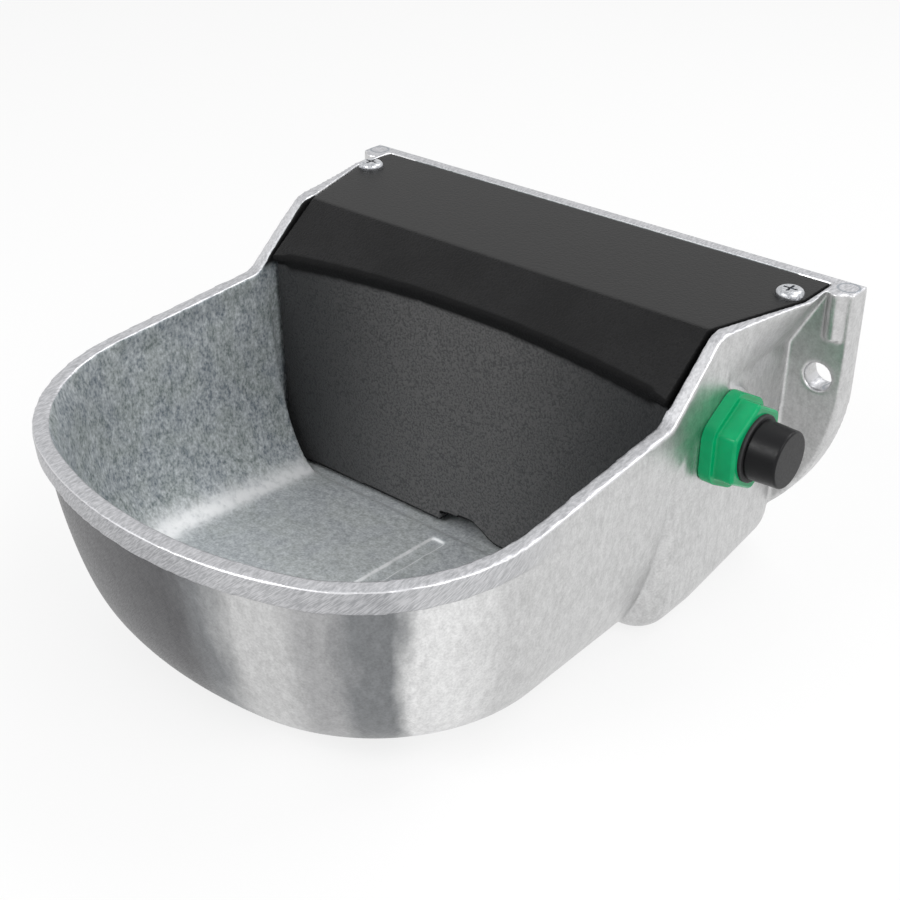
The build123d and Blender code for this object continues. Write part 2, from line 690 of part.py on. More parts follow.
# ---------------------------------------------------------------- float arm
pin_end = fork_half + cheek_thickness + hub_clearance
with BuildPart() as pivot_pin:
    with BuildSketch(Plane.XZ.offset(valve_back + pin_end)):
        with Locations((pivot_x, pivot_z)):
            Circle(pin_radius)
    extrude(amount=-2 * pin_end - clip_thickness - pin_tail)
    with BuildSketch(Plane.XZ.offset(valve_back + pin_end)):
        with Locations((pivot_x, pivot_z)):
            Circle(pin_head_radius)
    extrude(amount=pin_head_height)
pivot_pin.part.label = "pivot_pin"
export_step(pivot_pin.part, "parts/pivot_pin.step")

with BuildPart() as pin_clip:
    with BuildSketch(Plane.XZ.offset(valve_back - pin_end)):
        with Locations((pivot_x, pivot_z)):
            Circle(clip_radius)
            Circle(pin_radius + pin_fit, mode=Mode.SUBTRACT)
    extrude(amount=-clip_thickness)
pin_clip.part.label = "pin_clip"
export_step(pin_clip.part, "parts/pin_clip.step")

with BuildPart() as float_arm:
    with BuildSketch(arm_plane):
        with Locations((bolt_x / 2, 0)):
            Rectangle(bolt_x, arm_height)
        with Locations((bolt_x, 0)):
            Circle(arm_height / 2)
    extrude(amount=arm_thickness / 2, both=True)
    extrude(bar(0, hub_radius), amount=fork_half - hub_clearance, both=True)
    # cam that pushes the plunger
    with BuildSketch(Plane.XZ.offset(valve_back)):
        with BuildLine():
            Polyline(
                (pivot_x - hub_radius, pivot_z), (cam_x - cam_radius, cam_z), (cam_x + cam_radius, cam_z),
                (cam_x + cam_radius, pivot_z), close=True,
            )
        make_face()
        with Locations((cam_x, cam_z)):
            Circle(cam_radius)
    extrude(amount=cam_width / 2, both=True)
    extrude(bar(0, pin_radius + pin_fit), amount=fork_gap, both=True, mode=Mode.SUBTRACT)
    extrude(bar(bolt_x, bolt_radius + bolt_fit), amount=arm_thickness, both=True, mode=Mode.SUBTRACT)
float_arm.part.label = "float_arm"
export_step(float_arm.part, "parts/float_arm.step")

# ---------------------------------------------------------------- float
lug_start = arm_thickness / 2 + lug_gap
with BuildPart() as water_float:
    with BuildSketch(arm_plane.offset(valve_back - float_back - float_width / 2)) as float_outline:
        with Locations((float_centre, 0)):
            RectangleRounded(float_length, float_height, float_round)
    extrude(amount=float_width)
    chamfer(water_float.faces().sort_by(Axis.Y)[0].edges(), float_chamfer)
    chamfer(water_float.faces().sort_by(Axis.Y)[-1].edges(), float_chamfer)
    # lug that the arm is screwed to
    with BuildSketch(arm_plane.offset(lug_start)):
        with Locations((bolt_x + lug_reach / 2, 0)):
            Rectangle(lug_reach + float_round, arm_height)
        with Locations((bolt_x, 0)):
            Circle(arm_height / 2)
    extrude(amount=lug_thickness)
    extrude(bar(bolt_x, bolt_radius + bolt_fit), amount=lug_start + lug_thickness, mode=Mode.SUBTRACT)
water_float.part.label = "float"
export_step(water_float.part, "parts/float.step")

with BuildPart() as float_screw:
    head_side = -arm_thickness / 2 - lug_gap
    nut_side = lug_start + lug_thickness + lug_gap
    with BuildSketch(arm_plane.offset(head_side)):
        with Locations((bolt_x, 0)):
            Circle(bolt_head_radius)
    extrude(amount=-bolt_head_height)
    chamfer(float_screw.faces().sort_by(Axis.Y)[0].edges(), bolt_head_height / 3)
    with BuildSketch(arm_plane.offset(head_side)):
        with Locations((bolt_x, 0)):
            Circle(bolt_radius)
    extrude(amount=nut_side - head_side + bolt_nut_height + bolt_tail)
float_screw.part.label = "float_screw"
export_step(float_screw.part, "parts/float_screw.step")

with BuildPart() as float_nut:
    with BuildSketch(arm_plane.offset(nut_side)):
        with Locations((bolt_x, 0)):
            RegularPolygon(bolt_nut_flats / 2, 6, major_radius=False)
            Circle(bolt_radius + bolt_fit, mode=Mode.SUBTRACT)
    extrude(amount=bolt_nut_height)
float_nut.part.label = "float_nut"
export_step(float_nut.part, "parts/float_nut.step")

# ---------------------------------------------------------------- drain plug
with BuildPart() as drain_plug:
    stem_radius = drain_radius - plug_fit
    with Locations((drain_x, -drain_back, floor_z)):
        Cylinder(plug_flange_radius, plug_flange_thickness, align=(Align.CENTER, Align.CENTER, Align.MIN))
        stem_length = wall - plug_short
        Cone(stem_radius - plug_taper, stem_radius, stem_length, align=(Align.CENTER, Align.CENTER, Align.MAX))
    chamfer(drain_plug.edges().group_by(Axis.Z)[-1], plug_flange_thickness / 3)
drain_plug.part.label = "drain_plug"
export_step(drain_plug.part, "parts/drain_plug.step")

# pull ring moulded on a stub that stands in the plug's middle
ring_z = floor_z + plug_flange_thickness + stub_height + ring_radius
with BuildPart() as plug_ring:
    with BuildSketch(Plane.XZ.offset(drain_back)):
        with Locations((drain_x, ring_z)):
            Circle(ring_radius + ring_wall)
        with Locations((drain_x, ring_z - ring_radius / 2 - stub_height / 2)):
            Rectangle(stub_width, ring_radius + stub_height)
        with Locations((drain_x, ring_z)):
            Circle(ring_radius, mode=Mode.SUBTRACT)
    extrude(amount=ring_thickness / 2, both=True)
plug_ring.part.label = "plug_ring"
export_step(plug_ring.part, "parts/plug_ring.step")
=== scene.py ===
import math

import bpy
from bpy.props import FloatProperty, FloatVectorProperty, PointerProperty
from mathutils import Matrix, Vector


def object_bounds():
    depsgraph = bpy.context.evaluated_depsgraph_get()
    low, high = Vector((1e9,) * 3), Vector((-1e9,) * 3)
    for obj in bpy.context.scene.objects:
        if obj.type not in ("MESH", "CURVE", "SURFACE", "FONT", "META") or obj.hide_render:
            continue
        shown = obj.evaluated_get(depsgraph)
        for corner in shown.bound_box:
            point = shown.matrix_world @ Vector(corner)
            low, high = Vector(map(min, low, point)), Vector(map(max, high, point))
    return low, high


"""Livestock drinking bowl: finishes for its castings, mouldings and fittings, and a plain studio."""

bl_info = {
    "name": "Drinking Bowl Finish",
    "version": (1, 0, 0),
    "blender": (4, 5, 0),
    "location": "View3D > Sidebar > Drinking Bowl",
    "description": "Dresses the parts of a livestock drinking bowl and sets up its studio",
    "category": "Material",
}

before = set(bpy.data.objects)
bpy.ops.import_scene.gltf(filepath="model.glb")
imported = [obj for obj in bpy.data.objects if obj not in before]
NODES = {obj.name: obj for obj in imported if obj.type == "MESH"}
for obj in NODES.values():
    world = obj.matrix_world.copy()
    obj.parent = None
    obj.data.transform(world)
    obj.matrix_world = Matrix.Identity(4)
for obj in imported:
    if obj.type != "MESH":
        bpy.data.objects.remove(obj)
CAD_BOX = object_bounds()
MM = 0.001


# ---------------------------------------------------------------- colour and node helpers
def linear(hex_colour):
    """Turns an sRGB hex colour into linear RGBA."""
    channels = [int(hex_colour[place:place + 2], 16) / 255 for place in (0, 2, 4)]
    return [c / 12.92 if c <= 0.04045 else ((c + 0.055) / 1.055) ** 2.4 for c in channels] + [1.0]


def add_node(tree, kind, inputs=None, **settings):
    """Adds one node, sets its properties, and sets or links its inputs."""
    made = tree.nodes.new(kind)
    for name, value in settings.items():
        setattr(made, name, value)
    for name, value in (inputs or {}).items():
        if isinstance(value, bpy.types.NodeSocket):
            tree.links.new(value, made.inputs[name])
        else:
            made.inputs[name].default_value = value
    return made


def new_material(name):
    """An empty node material, its tree and its object-space coordinates."""
    material = bpy.data.materials.new(name)
    material.use_nodes = True
    tree = material.node_tree
    tree.nodes.clear()
    return material, tree, add_node(tree, "ShaderNodeTexCoord").outputs


def grain(tree, place, size, detail=2.0, stretch=(1.0, 1.0, 1.0), turn=(0.0, 0.0, 0.0)):
    """Noise whose spots are about size metres across, stretched and turned as asked."""
    mapped = add_node(tree, "ShaderNodeMapping", {"Vector": place, "Scale": stretch, "Rotation": turn})
    pattern = {"Vector": mapped.outputs["Vector"], "Scale": 1 / size, "Detail": detail, "Roughness": 0.6}
    return add_node(tree, "ShaderNodeTexNoise", pattern).outputs["Fac"]


def ramp(tree, value, low, high, to_low=0.0, to_high=1.0):
    """Maps a value from low..high to another range, smoothly and within its ends."""
    inputs = {"Value": value, "From Min": low, "From Max": high, "To Min": to_low, "To Max": to_high}
    return add_node(tree, "ShaderNodeMapRange", inputs, interpolation_type="SMOOTHSTEP").outputs["Result"]


def blend_colour(tree, factor, first, second, mode="MIX"):
    """Mixes two colours by a factor."""
    mixer = add_node(tree, "ShaderNodeMix", {0: factor, 6: first, 7: second}, data_type="RGBA", blend_type=mode)
    return mixer.outputs[2]


def arithmetic(tree, operation, first, second):
    """One sum on two values."""
    return add_node(tree, "ShaderNodeMath", {0: first, 1: second}, operation=operation).outputs[0]


def finish_surface(tree, settings, height=None, distance=0.1 * MM, strength=0.5):
    """Adds the shader, with a bump where a height is given, and the output."""
    if height is not None:
        bump = add_node(tree, "ShaderNodeBump", {"Height": height, "Distance": distance, "Strength": strength})
        settings = {**settings, "Normal": bump.outputs["Normal"]}
    shader = add_node(tree, "ShaderNodeBsdfPrincipled", settings)
    add_node(tree, "ShaderNodeOutputMaterial", {"Surface": shader.outputs["BSDF"]})


def wear(node, material):
    """Puts one material on a CAD node."""
    mesh = NODES[node].data
    mesh.materials.clear()
    mesh.materials.append(material)


def soften(node, voxel, passes, strength=0.5):
    """Rounds a CAD node's sharp edges: an even fine mesh, smoothed a little."""
    piece = NODES[node]
    even = piece.modifiers.new("even_mesh", "REMESH")
    even.mode = "VOXEL"
    even.voxel_size = voxel
    even.use_smooth_shade = True
    relaxed = piece.modifiers.new("rounded_edges", "SMOOTH")
    relaxed.iterations = passes
    relaxed.factor = strength


def melt_lip(node, front, foot, side, passes):
    """Lets the fold of a hood flow into its panel: blurs the points in front of one plane, above
    another and inside both sides, each with a soft edge."""
    tree = bpy.data.node_groups.new("melted_lip", "GeometryNodeTree")
    tree.interface.new_socket("Geometry", in_out="INPUT", socket_type="NodeSocketGeometry")
    tree.interface.new_socket("Geometry", in_out="OUTPUT", socket_type="NodeSocketGeometry")
    shape = add_node(tree, "NodeGroupInput").outputs["Geometry"]
    place = add_node(tree, "GeometryNodeInputPosition").outputs[0]
    parts = add_node(tree, "ShaderNodeSeparateXYZ", {"Vector": place}).outputs
    across = arithmetic(tree, "ABSOLUTE", parts["X"], 0.0)
    share = arithmetic(tree, "MULTIPLY", ramp(tree, parts["Y"], front, front - 5 * MM), ramp(tree, parts["Z"], foot, foot + 5 * MM))
    share = arithmetic(tree, "MULTIPLY", share, ramp(tree, across, side, side - 6 * MM))
    blurred = add_node(
        tree, "GeometryNodeBlurAttribute", {"Value": place, "Iterations": passes}, data_type="FLOAT_VECTOR",
    ).outputs["Value"]
    mixed = add_node(tree, "ShaderNodeMix", {0: share, 4: place, 5: blurred}, data_type="VECTOR").outputs[1]
    moved = add_node(tree, "GeometryNodeSetPosition", {"Geometry": shape, "Position": mixed}).outputs["Geometry"]
    add_node(tree, "NodeGroupOutput", {"Geometry": moved})
    NODES[node].modifiers.new("melted_lip", "NODES").node_group = tree


# ---------------------------------------------------------------- materials
def cast_aluminium(look):
    """Sand-cast aluminium, blasted inside and tumbled outside, with its rim milled flat: a mottled
    blue-grey inside, a satin shine with upright bands of painted reflection and shade outside, and
    fine slanting cutter marks along the rim. Painted highlights lie on the inside corners, the
    upward-facing floor and the rim's edges, and painted shade in the joint round the cover and
    round the ejector pin marks."""
    material, tree, place = new_material("cast_aluminium")
    where, facing = place["Object"], place["Normal"]
    parts = add_node(tree, "ShaderNodeSeparateXYZ", {"Vector": where}).outputs
    facing_up = add_node(tree, "ShaderNodeSeparateXYZ", {"Vector": facing}).outputs["Z"]
    across = arithmetic(tree, "ABSOLUTE", parts["X"], 0.0)
    # inside or outside: whether the surface faces the bowl's middle and lies within its side walls
    middle = (0.0, look.bowl_middle, look.bowl_height)
    outwards = add_node(tree, "ShaderNodeVectorMath", {0: where, 1: middle}, operation="SUBTRACT").outputs[0]
    away = add_node(tree, "ShaderNodeVectorMath", {0: outwards, 1: facing}, operation="DOT_PRODUCT").outputs["Value"]
    spread = arithmetic(tree, "MULTIPLY", parts["Y"], -0.06)
    beyond = arithmetic(tree, "SUBTRACT", across, arithmetic(tree, "ADD", spread, look.side_wall))
    outside = arithmetic(tree, "MAXIMUM", ramp(tree, away, -4 * MM, 4 * MM), ramp(tree, beyond, -1 * MM, 1 * MM))
    # the milled rim and housing top, and a painted highlight along the edges beside them
    high = ramp(tree, parts["Z"], -9 * MM, -7 * MM)
    milled = arithmetic(tree, "MULTIPLY", ramp(tree, facing_up, 0.5, 0.66), high)
    highlit = arithmetic(tree, "MULTIPLY", ramp(tree, facing_up, 0.35, 0.5), ramp(tree, facing_up, 0.85, 0.65))
    highlit = arithmetic(tree, "MULTIPLY", arithmetic(tree, "MULTIPLY", highlit, high), outside)
    # blasted inside: spots a little over 1 mm wide on spots of 3 mm, with faint cloudy tints
    spots = grain(tree, where, 1.2 * MM, 3.0, (1.0, 1.0, 0.7))
    patches = grain(tree, where, 3.4 * MM, 2.0, (1.0, 1.0, 0.75))
    mottle = ramp(tree, arithmetic(tree, "ADD", arithmetic(tree, "MULTIPLY", spots, 1.3), patches), 0.82, 1.5)
    mottle.node.interpolation_type = "LINEAR"
    clouds = ramp(tree, grain(tree, where, 16 * MM, 1.0), 0.35, 0.65)
    tinted = blend_colour(tree, clouds, look.inside_blue, look.inside_green)
    inside_colour = blend_colour(tree, mottle, tinted, look.inside_light)
    # painted light: the upward-facing floor is made lighter; painted shade: the joint round the cover is made dark
    painted_floor_light = ramp(tree, facing_up, 0.86, 0.96, 0.0, 0.28)
    inside_colour = blend_colour(tree, painted_floor_light, inside_colour, look.inside_highlight)
    joint = arithmetic(tree, "MULTIPLY", ramp(tree, parts["Z"], 13 * MM, 18 * MM), ramp(tree, facing_up, 0.6, 0.4))
    joint = arithmetic(tree, "MULTIPLY", joint, ramp(tree, outside, 1.0, 0.0))
    # painted highlight on the inside corners and the edges of the drain channel
    corner = arithmetic(tree, "MULTIPLY", ramp(tree, facing_up, 0.5, 0.82), ramp(tree, facing_up, 0.985, 0.86))
    corner = arithmetic(tree, "MULTIPLY", corner, ramp(tree, patches, 0.2, 0.6, 0.7, 1.0))
    inside_colour = blend_colour(tree, corner, inside_colour, look.inside_highlight)
    # tumbled outside: bands of painted reflection and shade round the bowl by the angle at its middle, streaks, haze
    # and fine grit
    run = arithmetic(tree, "SUBTRACT", look.bowl_middle, parts["Y"])
    angle = arithmetic(tree, "ARCTAN2", parts["X"], run)
    waver = arithmetic(tree, "SUBTRACT", grain(tree, where, 14 * MM, 3.0, (1.0, 1.0, 0.35)), 0.5)
    wavy = arithmetic(tree, "ADD", angle, arithmetic(tree, "MULTIPLY", waver, 0.14))
    turn = ramp(tree, wavy, -math.pi / 2, math.pi / 2)
    turn.node.interpolation_type = "LINEAR"
    bands = add_node(tree, "ShaderNodeValToRGB", {"Fac": turn})
    stops = bands.color_ramp.elements
    stops.remove(stops[1])
    for degrees, tone in painted_reflection_bands(look):
        spot = (degrees + 90) / 180
        stop = stops[0] if degrees == -90 else stops.new(spot)
        stop.position, stop.color = spot, tone
    streaks = ramp(tree, grain(tree, where, 5 * MM, 3.0, (1.0, 1.0, 0.3), (0.0, math.radians(-20), 0.0)), 0.3, 0.7)
    grit = ramp(tree, grain(tree, where, 1.0 * MM, 3.0), 0.32, 0.68)
    blotch = ramp(tree, grain(tree, where, 3.0 * MM, 4.0, (1.0, 1.0, 0.6)), 0.3, 0.7)
    tone = arithmetic(tree, "ADD", arithmetic(tree, "MULTIPLY", streaks, 0.07), arithmetic(tree, "MULTIPLY", grit, 0.16))
    tone = arithmetic(tree, "ADD", arithmetic(tree, "ADD", tone, arithmetic(tree, "MULTIPLY", blotch, 0.16)), 0.8)
    # the bands of painted reflection and shade, times the streaks, grit and blotches
    outside_colour = blend_colour(tree, 1.0, bands.outputs["Color"], tone, "MULTIPLY")
    # milled rim and lip: scratches that run across at a slant
    cuts = grain(tree, where, 0.9 * MM, 4.0, (1.0, 0.3, 1.0), (0.0, 0.0, math.radians(35)))
    along = arithmetic(tree, "MULTIPLY", angle, 130 * MM)
    slant = arithmetic(tree, "MULTIPLY", arithmetic(tree, "ADD", along, parts["Z"]), 0.1)
    hatch = add_node(tree, "ShaderNodeCombineXYZ", {"X": arithmetic(tree, "SUBTRACT", along, parts["Z"]), "Y": slant}).outputs[0]
    marks = grain(tree, hatch, 0.7 * MM, 2.0)
    milled_colour = blend_colour(tree, ramp(tree, cuts, 0.25, 0.75), look.milled_dark, look.milled_light)
    fall = arithmetic(tree, "MULTIPLY", arithmetic(tree, "ADD", parts["Y"], look.rim_foot), look.rim_fall)
    below = arithmetic(tree, "SUBTRACT", arithmetic(tree, "ADD", fall, look.rim_height), parts["Z"])
    lip = arithmetic(tree, "MULTIPLY", ramp(tree, below, look.lip_height + 0.6 * MM, look.lip_height - 0.6 * MM), ramp(tree, parts["Y"], -180 * MM, -230 * MM))
    lip_colour = blend_colour(tree, ramp(tree, marks, 0.35, 0.65), look.milled_dark, look.milled_light)
    outside_colour = blend_colour(tree, arithmetic(tree, "MULTIPLY", lip, 0.8), outside_colour, lip_colour)
    # ejector pin marks on top of the ears: a thin ring of painted shade along the shallow groove of each
    pins = add_node(tree, "ShaderNodeCombineXYZ", {"X": across, "Y": parts["Y"], "Z": 0.0}).outputs[0]
    reach = add_node(tree, "ShaderNodeVectorMath", {0: pins, 1: look.pin_place}, operation="DISTANCE").outputs["Value"]
    ring = arithmetic(tree, "ABSOLUTE", arithmetic(tree, "SUBTRACT", reach, look.pin_radius), 0.0)
    ring = arithmetic(tree, "MULTIPLY", ramp(tree, ring, 0.8 * MM, 0.3 * MM), high)
    colour = blend_colour(tree, outside, inside_colour, outside_colour)
    # painted shade in the joint round the cover
    colour = blend_colour(tree, joint, colour, look.joint_shade)
    colour = blend_colour(tree, milled, colour, milled_colour)
    # painted highlight along the rim's edges
    colour = blend_colour(tree, arithmetic(tree, "MULTIPLY", highlit, 0.8), colour, look.edge_highlight)
    # painted shade round the ejector pin marks
    colour = blend_colour(tree, arithmetic(tree, "MULTIPLY", ring, 0.6), colour, look.inside_blue)
    rough_outside = ramp(tree, marks, 0.3, 0.7, look.outside_roughness - 0.04, look.outside_roughness + 0.06)
    roughness = add_node(tree, "ShaderNodeMix", {0: outside, 2: 0.55, 3: rough_outside}).outputs[0]
    roughness = add_node(tree, "ShaderNodeMix", {0: milled, 2: roughness, 3: 0.4}).outputs[0]
    relief = add_node(tree, "ShaderNodeMix", {0: outside, 2: mottle, 3: grit}).outputs[0]
    relief = add_node(tree, "ShaderNodeMix", {0: milled, 2: relief, 3: cuts}).outputs[0]
    metal = ramp(tree, arithmetic(tree, "MAXIMUM", outside, milled), 0.0, 1.0, look.inside_metal, 1.0)
    # the joint's painted shade is not metallic
    metal = arithmetic(tree, "MULTIPLY", metal, ramp(tree, joint, 1.0, 0.0))
    surface = {"Base Color": colour, "Metallic": metal, "Roughness": roughness}
    finish_surface(tree, surface, relief, 0.06 * MM, 0.4)
    return material


def painted_reflection_bands(look):
    """Tone of the bands of painted reflection and shade, by degrees round the bowl from its front towards its right.
    """
    deep, dark, mid, light, bright = look.reflection_band_deep, look.reflection_band_dark, look.reflection_band_mid, look.reflection_band_light, look.reflection_band_bright
    return (
        (-90, light), (-60, mid), (-26, deep), (5, deep), (12, dark), (19, light), (25, light), (30, mid),
        (34, mid), (38, dark), (43, dark), (47, bright), (53, bright), (62, light), (90, light),
    )


def black_abs(look):
    """ABS, injection moulded in a spark-eroded tool: deep grey with a fine leathery grain on hood
    and panel that breaks up its sheen, and a smoother top plate. The panel's middle has painted
    sheen, and the hollow under the fold painted shade."""
    material, tree, place = new_material("black_abs_moulded")
    where = place["Object"]
    facing_up = add_node(tree, "ShaderNodeSeparateXYZ", {"Vector": place["Normal"]}).outputs["Z"]
    plate = ramp(tree, facing_up, 0.9, 0.97)
    upright = ramp(tree, facing_up, 0.6, 0.1)
    pebbles = ramp(tree, grain(tree, where, 1.1 * MM, 2.0), 0.35, 0.65)
    shade = ramp(tree, grain(tree, where, 30 * MM, 2.0), 0.3, 0.7)
    parts = add_node(tree, "ShaderNodeSeparateXYZ", {"Vector": where}).outputs
    across = arithmetic(tree, "ABSOLUTE", parts["X"], 0.0)
    colour = blend_colour(tree, arithmetic(tree, "MULTIPLY", shade, pebbles), look.cover_dark_and_fold_shade, look.cover_light)
    # painted sheen: the panel's grain crests paler towards its middle; painted shade: the hollow under the fold dark
    painted_sheen = ramp(tree, across, 108 * MM, 12 * MM, 0.2, 0.75)
    crests = arithmetic(tree, "MULTIPLY", arithmetic(tree, "SUBTRACT", pebbles, 0.5), 0.7)
    painted_sheen = arithmetic(tree, "MULTIPLY", painted_sheen, arithmetic(tree, "ADD", crests, 1.0))
    panel = blend_colour(tree, painted_sheen, look.panel_grain_and_shade, look.panel_grain_and_sheen)
    colour = blend_colour(tree, upright, colour, panel)
    fold = arithmetic(tree, "MULTIPLY", ramp(tree, facing_up, 0.1, 0.2), ramp(tree, facing_up, 0.78, 0.66))
    fold = arithmetic(tree, "MAXIMUM", fold, ramp(tree, facing_up, 0.0, -0.2))
    # painted shade along the fold's underside, falling towards its ends
    arch = arithmetic(tree, "MULTIPLY", arithmetic(tree, "MULTIPLY", across, across), look.fold_arch)
    raised = arithmetic(tree, "ADD", parts["Z"], arch)
    fold_edge_shade = arithmetic(tree, "MULTIPLY", ramp(tree, raised, look.fold_crown - 1 * MM, look.fold_crown), ramp(tree, facing_up, 0.78, 0.66))
    fold = arithmetic(tree, "MAXIMUM", fold, fold_edge_shade)
    # painted shade in the fold
    colour = blend_colour(tree, fold, colour, look.cover_dark_and_fold_shade)
    colour = blend_colour(tree, plate, colour, look.plate_colour)
    rough = ramp(tree, pebbles, 0.0, 1.0, look.cover_roughness - 0.06, look.cover_roughness + 0.06)
    roughness = add_node(tree, "ShaderNodeMix", {0: plate, 2: rough, 3: 0.5}).outputs[0]
    roughness = add_node(tree, "ShaderNodeMix", {0: fold, 2: roughness, 3: 0.8}).outputs[0]
    height = arithmetic(tree, "MULTIPLY", pebbles, ramp(tree, plate, 0.0, 1.0, 1.0, 0.3))
    surface = {"Base Color": colour, "Roughness": roughness, "IOR": 1.5, "Specular IOR Level": 0.2}
    finish_surface(tree, surface, height, 0.2 * MM, 0.8)
    return material


def moulded_plastic(name, colour, roughness, ior=1.5, mottle=0.12, grain_size=1.4 * MM, depth=0.03 * MM):
    """Injection-moulded plastic: an even colour with faint flow marks and a slightly wavy gloss."""
    material, tree, place = new_material(name)
    where = place["Object"]
    flow = ramp(tree, grain(tree, where, 9 * MM, 2.0), 0.3, 0.7)
    fine = grain(tree, where, grain_size, 2.0)
    darker = [channel * (1 - mottle) for channel in colour[:3]] + [1.0]
    surface = {
        "Base Color": blend_colour(tree, flow, darker, colour),
        "Roughness": ramp(tree, fine, 0.3, 0.7, roughness - 0.04, roughness + 0.05),
        "IOR": ior,
        "Specular IOR Level": 0.2,
    }
    finish_surface(tree, surface, fine, depth, 0.5)
    return material


def moulded_rubber(name, colour):
    """EPDM rubber, compression moulded: dark and dull with a bloom of fine dust."""
    material, tree, place = new_material(name)
    dust = ramp(tree, grain(tree, place["Object"], 2.5 * MM, 4.0), 0.45, 0.75)
    dusty = [channel * 1.9 + 0.004 for channel in colour[:3]] + [1.0]
    surface = {"Base Color": blend_colour(tree, dust, colour, dusty), "Roughness": 0.62, "IOR": 1.52}
    finish_surface(tree, surface, grain(tree, place["Object"], 0.5 * MM), 0.04 * MM, 0.6)
    return material


def worked_metal(name, dark, light, roughness, spot=1.5 * MM, stretch=(1.0, 1.0, 1.0), depth=0.03 * MM):
    """Plated, turned or stamped metal: bright, with slightly uneven tone and tool marks."""
    material, tree, place = new_material(name)
    tone = ramp(tree, grain(tree, place["Object"], spot, 3.0, stretch), 0.3, 0.7)
    surface = {
        "Base Color": blend_colour(tree, tone, dark, light),
        "Metallic": 1.0,
        "Roughness": ramp(tree, tone, 0.0, 1.0, roughness + 0.08, roughness - 0.04),
    }
    finish_surface(tree, surface, tone, depth, 0.4)
    return material


# ---------------------------------------------------------------- settings
def colour_setting(name, description, hex_colour):
    """A colour a user may change."""
    default = linear(hex_colour)
    return FloatVectorProperty(name=name, description=description, default=default, size=4, subtype="COLOR", min=0, max=1)


def size_setting(name, description, millimetres):
    """A length a user may change."""
    return FloatProperty(name=name, description=description, default=millimetres * MM, unit="LENGTH", precision=5)


class CastingLook(bpy.types.PropertyGroup):
    inside_blue: colour_setting("Inside blue", "Cooler tint of the blasted inside", "737D86")
    inside_green: colour_setting("Inside green", "Warmer tint of the blasted inside", "7B8584")
    inside_light: colour_setting("Inside light", "Bright spots of the blasted inside", "D6DBDD")
    # colour of the painted shade in the joint round the cover
    joint_shade: colour_setting("Joint", "Painted shade in the joint round the cover", "0B0B0C")
    # colour of the painted highlights inside, on the floor and in the corners
    inside_highlight: colour_setting("Inside highlight", "Painted highlight on the inside corners", "FAFBFC")
    # tones of the bands of painted reflection and shade round the outside
    reflection_band_deep: colour_setting("Band deep", "Deepest band of painted reflection and shade", "59595B")
    reflection_band_dark: colour_setting("Band dark", "Dark bands of painted reflection and shade", "818385")
    reflection_band_mid: colour_setting("Band mid", "Middle bands of painted reflection", "AAAAAB")
    reflection_band_light: colour_setting("Band light", "Lighter bands of painted reflection", "CACACA")
    reflection_band_bright: colour_setting("Band bright", "Brightest band of painted reflection", "E4E4E4")
    milled_dark: colour_setting("Milled dark", "Dark cutter marks on the rim", "A2A3A6")
    milled_light: colour_setting("Milled light", "Bright cutter marks on the rim", "CFCFD2")
    # colour of the painted highlight along the rim's edges
    edge_highlight: colour_setting("Edge highlight", "Bright worn edges of the rim", "D6D6D8")
    outside_roughness: FloatProperty(name="Outside roughness", description="Satin of the outside", default=0.36)
    inside_metal: FloatProperty(name="Inside metal", description="How metallic the blasted skin is", default=0.4, min=0, max=1)
    bowl_middle: size_setting("Bowl middle", "Y of the middle of the bowl", -150)
    bowl_height: size_setting("Bowl height", "Z above the rim towards which the inside faces", 60)
    side_wall: size_setting("Side wall", "X of the middle of the side walls at the wall face", 111.5)
    rim_foot: size_setting("Rim foot", "Wall face to the foot of the sloping rim", 116)
    rim_height: size_setting("Rim height", "Z of the rim at the foot of its slope", 14.2)
    rim_fall: FloatProperty(name="Rim fall", description="Fall of the rim towards the front, as a slope", default=0.0664)
    lip_height: size_setting("Lip height", "Height of the rim's lip", 10.7)
    pin_place: FloatVectorProperty(name="Pin mark", description="Ejector pin mark", default=(0.1365, -0.0062, 0.0), subtype="TRANSLATION")
    pin_radius: size_setting("Pin radius", "Radius of the ejector pin marks", 4.7)
    voxel: size_setting("Mesh size", "Grid of the rounded casting", 0.85)


class MouldingLook(bpy.types.PropertyGroup):
    # the hood's darker tone, also the colour of the painted shade in the fold
    cover_dark_and_fold_shade: colour_setting("Cover dark", "Darker shade of the hood", "060607")
    cover_light: colour_setting("Cover light", "Lighter shade of the hood", "1B1B1C")
    plate_colour: colour_setting("Top plate", "Colour of the cover's top plate", "191919")
    # panel colours: grain hollows and crests, and the dark and light ends of the painted sheen across the panel
    panel_grain_and_shade: colour_setting("Panel dark", "Hollows of the panel's grain", "1D1F21")
    panel_grain_and_sheen: colour_setting("Panel light", "Crests of the panel's grain", "646363")
    cover_roughness: FloatProperty(name="Cover roughness", description="Sheen of the grained cover", default=0.5)
    fold_crown: size_setting("Fold crown", "Z of the underside of the fold at its middle", 23.9)
    fold_arch: FloatProperty(name="Fold arch", description="Fall of the fold towards its ends, per metre squared", default=0.42)
    hood_front: size_setting("Hood front", "Y behind which the fold isn't softened", -88)
    hood_foot: size_setting("Hood foot", "Z below which the fold isn't softened", 11)
    hood_side: size_setting("Hood side", "X beyond which the fold isn't softened", 109)
    green: colour_setting("Valve green", "Colour of valve body and lock nut", "00A266")
    cap: colour_setting("Cap black", "Colour of the inlet cap", "121214")
    float_colour: colour_setting("Float", "Colour of the float", "25262A")
    cover_voxel: size_setting("Cover mesh size", "Grid of the rounded cover", 0.8)
    nut_voxel: size_setting("Nut mesh size", "Grid of the rounded nut and cap", 0.35)


